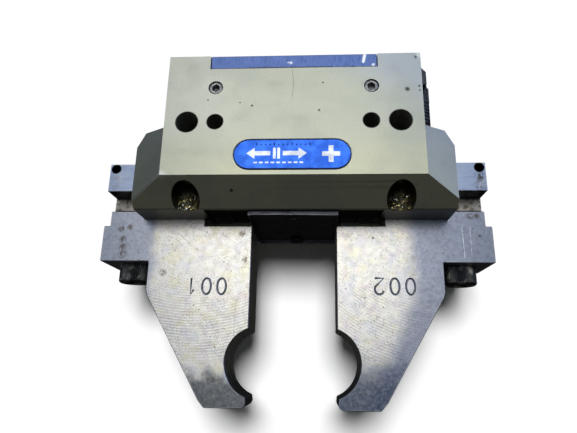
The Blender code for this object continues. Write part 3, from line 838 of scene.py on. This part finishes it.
def bottom_sheet(material):
    """The cover between the jaws: thin sheet with its edges folded down, a little wavy at front and rear."""
    low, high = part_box("bottom_cover")
    thick = 0.9 * MM
    deck = -77.0 * MM
    corner = 0.8 * MM
    columns = 36
    shape = bmesh.new()
    half_x = (high.x - low.x) / 2
    half_z = (high.z - low.z) / 2

    def edge_level(share):
        wave = math.sin(3.4 * share + 0.6) + 0.45 * math.sin(9.0 * share)
        return low.y + 0.25 * MM * (1 - share * share) - 0.22 * MM * min(0.0, wave)

    def loop(inset, level):
        """A rectangle of points with its corners cut, the same number at each level."""
        points = []
        wide, deep = half_x - inset, half_z - inset
        for z in (-deep, deep):
            row = []
            for i in range(columns + 1):
                share = 2 * i / columns - 1
                x = share * (wide - (corner if inset < corner else 0))
                row.append((x, level(share) if callable(level) else level, z))
            points += row if z < 0 else row[::-1]
        return [shape.verts.new(point) for point in points]

    rings = [
        loop(0.0, high.y),
        loop(0.0, edge_level),
        loop(thick, edge_level),
        loop(thick, deck),
    ]
    for first, second in zip(rings, rings[1:]):
        for i in range(len(first)):
            j = (i + 1) % len(first)
            shape.faces.new((first[i], first[j], second[j], second[i]))
    shape.faces.new(rings[0])
    shape.faces.new(rings[-1])
    piece = new_object("bottom_sheet", shape, material)
    cutters = []
    for end, z in ENDS:
        hole = bmesh.new()
        place = Matrix.Translation((0, deck, z * 24.0 * MM)) @ Matrix.Rotation(math.pi / 2, 4, "X")
        bmesh.ops.create_cone(
            hole, cap_ends=True, segments=24, radius1=1.9 * MM, radius2=1.9 * MM, depth=12 * MM, matrix=place
        )
        cutters.append(new_object("sheet_hole_" + end, hole, material))
        cut = piece.modifiers.new(end, "BOOLEAN")
        cut.object = cutters[-1]
        cut.solver = "EXACT"
    break_edges(piece, 0.2, 40.0)
    apply_modifiers(piece)
    for cutter in cutters:
        bpy.data.objects.remove(cutter)
    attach(piece, "body")
    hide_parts("bottom_cover")


def swarf(name, screw, gold, steel, seed):
    """Machining chips on the rear wall of a body screw's bore: short curled strips."""
    draw = random.Random(seed)
    low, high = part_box(screw)
    centre = (low + high) / 2
    for kind, material in (("gold", gold), ("steel", steel)):
        shape = bmesh.new()
        for _ in range(16 if kind == "gold" else 12):
            turn = math.radians(draw.uniform(-138, -42))
            reach = draw.uniform(5.9, 6.5) * MM
            height = -76.6 + 7.0 * draw.random() ** 1.5
            place = Vector((centre.x + reach * math.cos(turn), height * MM, centre.z + reach * math.sin(turn)))
            length = draw.uniform(0.6, 1.7) * MM
            width = draw.uniform(0.4, 0.9) * MM
            curl = draw.uniform(0.5, 2.4)
            axis = Vector((draw.uniform(-0.5, 0.5), draw.uniform(-0.5, 0.5), 1.0)).normalized()
            upright = Matrix.Rotation(math.pi / 2, 3, "X")
            turned = Matrix.Rotation(draw.uniform(0, math.pi), 3, axis) @ upright
            thick = 0.06 * MM
            rings = []
            for i in range(7):
                angle = curl * (i / 6 - 0.5)
                bend = length / curl
                rise = bend * (1 - math.cos(angle))
                middle = Vector((bend * math.sin(angle), rise, 0.3 * width * (i / 6 - 0.5)))
                out = Vector((math.sin(angle), -math.cos(angle), 0))
                taper = width * (1 - 0.6 * abs(2 * i / 6 - 1))
                ring = []
                for lift, across in ((-thick, -taper), (thick, -taper), (thick, taper), (-thick, taper)):
                    point = middle + out * lift + Vector((0, 0, across / 2))
                    ring.append(shape.verts.new(place + turned @ point))
                rings.append(ring)
            shape.faces.new(rings[0])
            shape.faces.new(rings[-1])
            for first, second in zip(rings, rings[1:]):
                for i in range(4):
                    j = (i + 1) % 4
                    shape.faces.new((first[i], first[j], second[j], second[i]))
        piece = new_object(f"swarf_{name}_{kind}", shape, material)
        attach(piece, "body")


# ---------------------------------------------------------------- studio


def look_from(place, target, roll_degrees):
    """A camera's matrix: it looks from place to target, turned by roll about its own axis."""
    forward = (target - place).normalized()
    right = forward.cross(Vector((0, 1, 0))).normalized()
    up = right.cross(forward)
    roll = math.radians(roll_degrees)
    turned_right = math.cos(roll) * right + math.sin(roll) * up
    turned_up = turned_right.cross(forward)
    turned = Matrix((turned_right, turned_up, -forward)).transposed().to_4x4()
    return Matrix.Translation(place) @ turned


def camera():
    data = bpy.data.cameras.new("camera")
    data.lens = CAMERA_LENS
    data.sensor_width = 36.0
    data.clip_start = 0.01
    made = bpy.data.objects.new("camera", data)
    bpy.context.scene.collection.objects.link(made)
    made.matrix_world = look_from(CAMERA_PLACE, CAMERA_TARGET, CAMERA_ROLL)
    bpy.context.scene.camera = made


def panel(name, place, size, radiance, colour, target=(0.0, -0.06, 0.0)):
    """A flat softbox that faces the object. radiance is how bright it looks in a mirror."""
    data = bpy.data.lights.new(name, "AREA")
    data.shape = "RECTANGLE"
    data.size, data.size_y = size
    data.energy = radiance * math.pi * size[0] * size[1]
    data.color = colour
    made = bpy.data.objects.new(name, data)
    bpy.context.scene.collection.objects.link(made)
    aim = Vector(target) - Vector(place)
    made.location = place
    made.rotation_euler = aim.to_track_quat("-Z", "Y").to_euler()
    return made


def studio():
    scene = bpy.context.scene
    scene.view_settings.view_transform = "Standard"
    world = bpy.data.worlds.new("studio")
    world.use_nodes = True
    tree = world.node_tree
    background = tree.nodes["Background"]
    background.inputs["Color"].default_value = (0.97, 1.0, 1.0, 1)
    direction = tree.nodes.new("ShaderNodeTexCoord")
    axes = tree.nodes.new("ShaderNodeSeparateXYZ")
    tree.links.new(direction.outputs["Generated"], axes.inputs[0])
    fade = tree.nodes.new("ShaderNodeMapRange")
    tree.links.new(axes.outputs["Z"], fade.inputs["Value"])
    fade.inputs["From Min"].default_value = -0.25
    fade.inputs["From Max"].default_value = 0.2
    fade.inputs["To Min"].default_value = 0.014
    fade.inputs["To Max"].default_value = 0.05
    tree.links.new(fade.outputs[0], background.inputs["Strength"])
    backdrop = tree.nodes.new("ShaderNodeBackground")
    backdrop.inputs["Color"].default_value = (0.93, 0.93, 0.94, 1)
    path = tree.nodes.new("ShaderNodeLightPath")
    mix = tree.nodes.new("ShaderNodeMixShader")
    tree.links.new(path.outputs["Is Camera Ray"], mix.inputs[0])
    tree.links.new(background.outputs[0], mix.inputs[1])
    tree.links.new(backdrop.outputs[0], mix.inputs[2])
    tree.links.new(mix.outputs[0], tree.nodes["World Output"].inputs["Surface"])
    scene.world = world

    panels = [
        panel("key", (-0.05, 0.28, 1.0), (0.76, 0.9), 1.25, (1.0, 0.985, 0.94)),
        panel("sky", (0.1, 0.5, 1.5), (3.0, 2.2), 0.3, (0.42, 0.62, 1.0)),
        panel("window", (0.62, 0.95, 1.0), (0.6, 0.5), 0.8, (0.5, 0.7, 1.0)),
        panel("side_right", (1.2, 0.45, 0.38), (0.8, 0.7), 1.12, (0.5, 0.6, 1.0)),
        panel("rear_right", (0.9, 1.3, 0.12), (1.0, 0.5), 0.6, (0.9, 0.96, 1.0)),
        panel("rear_left", (-0.9, 1.3, 0.12), (1.0, 0.5), 0.6, (0.9, 0.96, 1.0)),
        panel("rim_left", (-0.9, -0.35, 0.55), (0.25, 0.25), 1.8, (1.0, 1.0, 1.0)),
        panel("side_left", (-1.2, 0.45, 0.22), (0.8, 0.4), 0.17, (0.42, 0.58, 1.0)),
    ]

    low = Vector(CAD_BOX[0])
    shape = bmesh.new()
    bmesh.ops.create_grid(shape, x_segments=8, y_segments=8, size=4.0)
    floor = new_object("floor", shape, floor_paint())
    floor.location = (0, 0, low.z - 0.0004)
    floor.visible_glossy = False
    floor.visible_diffuse = False

    not_paper = bpy.data.collections.new("not_paper")
    not_paper.objects.link(floor)
    not_paper.collection_objects[0].light_linking.link_state = "EXCLUDE"
    for lamp in panels:
        lamp.light_linking.receiver_collection = not_paper
    paper_only = bpy.data.collections.new("paper_only")
    paper_only.objects.link(floor)
    wash = bpy.data.lights.new("wash", "SUN")
    wash.energy = 3.5
    wash.angle = math.radians(22)
    lamp = bpy.data.objects.new("wash", wash)
    scene.collection.objects.link(lamp)
    lamp.rotation_euler = (-Vector((0.0, 0.26, 1.0))).to_track_quat("-Z", "Y").to_euler()
    lamp.light_linking.receiver_collection = paper_only


# ---------------------------------------------------------------- the object


def main():
    steel = black_oxide()
    plated = zinc()
    switch = switch_metal()
    seal = rubber()
    paint_node("housing", anodised())
    weld_and_bevel(NODES["housing"], 0.35)
    paint_node("end_cover", cover_metal())
    weld_and_bevel(NODES["end_cover"], 0.3)
    for node in ("piston", "port_plug_left", "port_plug_right", "finger_pin_left", "finger_pin_right"):
        paint_node(node, plated)
    for node in ("cover_seal", "rod_seal", "piston_seal"):
        paint_node(node, seal)
    for node in ("switch_bracket", "proximity_switch"):
        paint_node(node, switch)
    weld_and_bevel(NODES["switch_bracket"], 0.3)
    screws = ["piston_bolt"]
    for end, _ in ENDS:
        screws += ["bottom_screw_" + end, "bracket_screw_" + end]
        for side, _ in SIDES:
            screws += [f"cover_screw_{side}_{end}", f"body_screw_{side}_{end}"]
    for node in screws:
        paint_node(node, steel)
    for node in [*screws, "port_plug_left", "port_plug_right", "proximity_switch"]:
        soften(node)

    yellow, pink, blue = srgb(250, 240, 196), srgb(240, 220, 226), srgb(206, 212, 228)
    left_finger = milled_steel(
        "milled_steel_left",
        (-50, -46),
        STAMP_CENTRE["left"],
        (73.0, 7.0, 0.0, srgb(176, 179, 190)),
        (-150.5, 7.0, srgb(110, 112, 114)),
        [(yellow, 6, (0, 0, 0), 0.45), (pink, 5, (20, 4, 0), 0.3), (blue, 7, (9, 40, 0), 0.25)],
        [
            ((-88.6, -87.5, 14.5), 2.6),
            ((-88.5, -91.5, 14.5), 2.8),
            ((-88.0, -95.5, 14.5), 3.0),
            ((-85.5, -81.2, 14.5), 2.2),
            ((-90.0, -82.0, 14.5), 2.4),
            ((-26.5, -84.5, 14.5), 2.6),
            ((-24.5, -98.0, 14.5), 2.4),
            ((-66.0, -105.0, 14.5), 2.6),
        ],
        [((-28, -118, 14.5), (-29, -141, 14.5), 0.2), ((-60, -84, 14.5), (-52, -91, 14.5), 0.16)],
    )
    right_finger = milled_steel(
        "milled_steel_right",
        (74, -56),
        STAMP_CENTRE["right"],
        (57.0, 11.0, 0.45, srgb(152, 157, 173)),
        (-152.0, 18.0, srgb(100, 108, 126)),
        [(yellow, 6, (44, 0, 7), 0.4), (pink, 5, (2, 70, 0), 0.4), (blue, 7, (30, 4, 9), 0.3)],
        [
            ((39.9, -86.6, 14.5), 1.0),
            ((88.8, -75.2, 14.5), 2.4),
            ((92.0, -75.0, 14.5), 2.0),
            ((92.9, -85.4, 14.5), 1.2),
        ],
        [
            ((84.2, -80.4, 14.5), (84.6, -96.6, 14.5), 0.26),
            ((88.2, -80.4, 14.5), (88.1, -95.6, 14.5), 0.2),
            ((52, -128, 14.5), (47, -148, 14.5), 0.14),
        ],
    )
    finger("left", -1, left_finger, "001")
    finger("right", 1, right_finger, "002")
    for side, x in SIDES:
        paint_node("base_jaw_" + side, jaw_steel(side, x))
        weld_and_bevel(NODES["base_jaw_" + side], 0.3)
        knurled_screw(side, steel)
    paint_node("wedge_hook", jaw_steel("wedge", 0))

    nameplate(
        enamel("label_film", (70, 132, 255), (56, 116, 246)),
        enamel("label_print_dark", (22, 40, 96), (14, 28, 74)),
        enamel("label_print_white", (250, 252, 255), (226, 234, 248)),
        enamel("label_rim", (30, 44, 84), (18, 28, 60)),
    )
    bottom_sheet(sheet_metal())
    gold = swarf_metal("swarf_gold", (250, 232, 160))
    bright = swarf_metal("swarf_steel", (252, 250, 240))
    swarf("left", "body_screw_left_front", gold, bright, 5)
    swarf("right", "body_screw_right_front", gold, bright, 8)
    camera()
    studio()


main()
